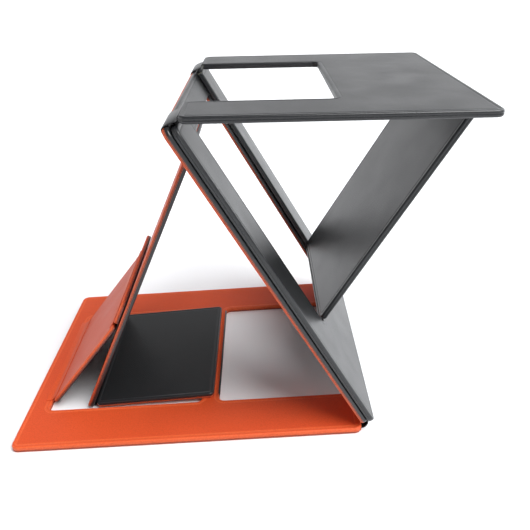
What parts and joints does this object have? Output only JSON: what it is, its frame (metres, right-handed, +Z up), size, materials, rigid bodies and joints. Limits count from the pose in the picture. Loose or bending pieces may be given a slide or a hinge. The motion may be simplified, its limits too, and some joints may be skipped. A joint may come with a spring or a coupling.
{
  "type": "laptop stand",
  "caption": "Folding sit-stand laptop stand of leather-wrapped boards hinged by folds, shown raised in a Z with a slanted panel, struts and a level top panel.",
  "frame": {"origin": "middle of the base's underside, on the surface the stand rests on", "axes": "+Z up, +X from the base's free edge to its folded edge, +Y along the fold lines"},
  "size_m": [0.3512, 0.228, 0.2469],
  "materials": {
    "orange_leather": "satin, fine grain",
    "black_leather": "satin, fine grain",
    "fibreglass_core": "woven glass laminate",
    "magnet": "nickel plated"
  },
  "bodies": {
    "base": {"base_core": "fibreglass_core", "base_cover": "orange_leather", "base_lining": "black_leather", "base_magnets": "magnet", "base_fold": "orange_leather", "tie_fold": "black_leather", "lock_fold": "orange_leather"},
    "middle_panel": {"lower_middle_core": "fibreglass_core", "lower_middle_cover": "black_leather", "lower_middle_lining": "orange_leather", "upper_middle_core": "fibreglass_core", "upper_middle_cover": "black_leather", "upper_middle_lining": "black_leather", "middle_magnets": "magnet", "top_fold": "black_leather", "strut_fold": "black_leather"},
    "top_panel": {"top_core": "fibreglass_core", "top_cover": "black_leather", "top_lining": "black_leather", "top_magnets": "magnet", "prop_fold": "black_leather"},
    "prop": {"prop_core": "fibreglass_core", "prop_cover": "black_leather", "prop_lining": "black_leather", "prop_magnets": "magnet"},
    "strut": {"strut_core": "fibreglass_core", "strut_cover": "black_leather", "strut_lining": "orange_leather", "strut_magnets": "magnet", "foot_fold": "black_leather"},
    "tie_flap": {"tie_core": "fibreglass_core", "tie_cover": "black_leather", "tie_lining": "orange_leather"},
    "lock_flap": {"lock_core": "fibreglass_core", "lock_cover": "black_leather", "lock_lining": "orange_leather", "lock_tip_fold": "orange_leather"},
    "lock_tip": {"lock_tip_core": "fibreglass_core", "lock_tip_cover": "black_leather", "lock_tip_lining": "orange_leather", "lock_tip_magnets": "magnet"}
  },
  "joints": [
    {"name": "main_fold", "type": "hinge", "parent": "base", "child": "middle_panel", "pos_m": [0.1344, 0, 0.005], "axis": [0, 1, 0], "range_deg": [0, 117.5]},
    {"name": "strut_turn", "type": "hinge", "parent": "middle_panel", "child": "strut", "pos_m": [0.02335, 0, 0.21833], "axis": [0, -1, 0], "range_deg": [0, 54.73]},
    {"name": "tie_turn", "type": "hinge", "parent": "strut", "child": "tie_flap", "pos_m": [-0.08826, 0, 0.00146], "axis": [0, 1, 0], "range_deg": [0, 119.21]},
    {"name": "top_lift", "type": "hinge", "parent": "middle_panel", "child": "top_panel", "pos_m": [0.02188, 0, 0.24236], "axis": [0, -1, 0], "range_deg": [0, 120]},
    {"name": "prop_swing", "type": "hinge", "parent": "top_panel", "child": "prop", "pos_m": [0.21216, 0, 0.23316], "axis": [0, -1, 0], "range_deg": [0, 75]},
    {"name": "lock_drop", "type": "hinge", "parent": "base", "child": "lock_flap", "pos_m": [-0.1181, 0, 0.005], "axis": [0, -1, 0], "range_deg": [0, 130]},
    {"name": "lock_tip_bend", "type": "hinge", "parent": "lock_flap", "child": "lock_tip", "pos_m": [-0.05449, 0, 0.0769], "axis": [0, -1, 0], "range_deg": [0, 90]}
  ],
  "couplings": [
    {"joint": "tie_turn", "follows": "main_fold", "ratio": 1.0145},
    {"joint": "strut_turn", "follows": "main_fold", "ratio": 0.4657}
  ]
}
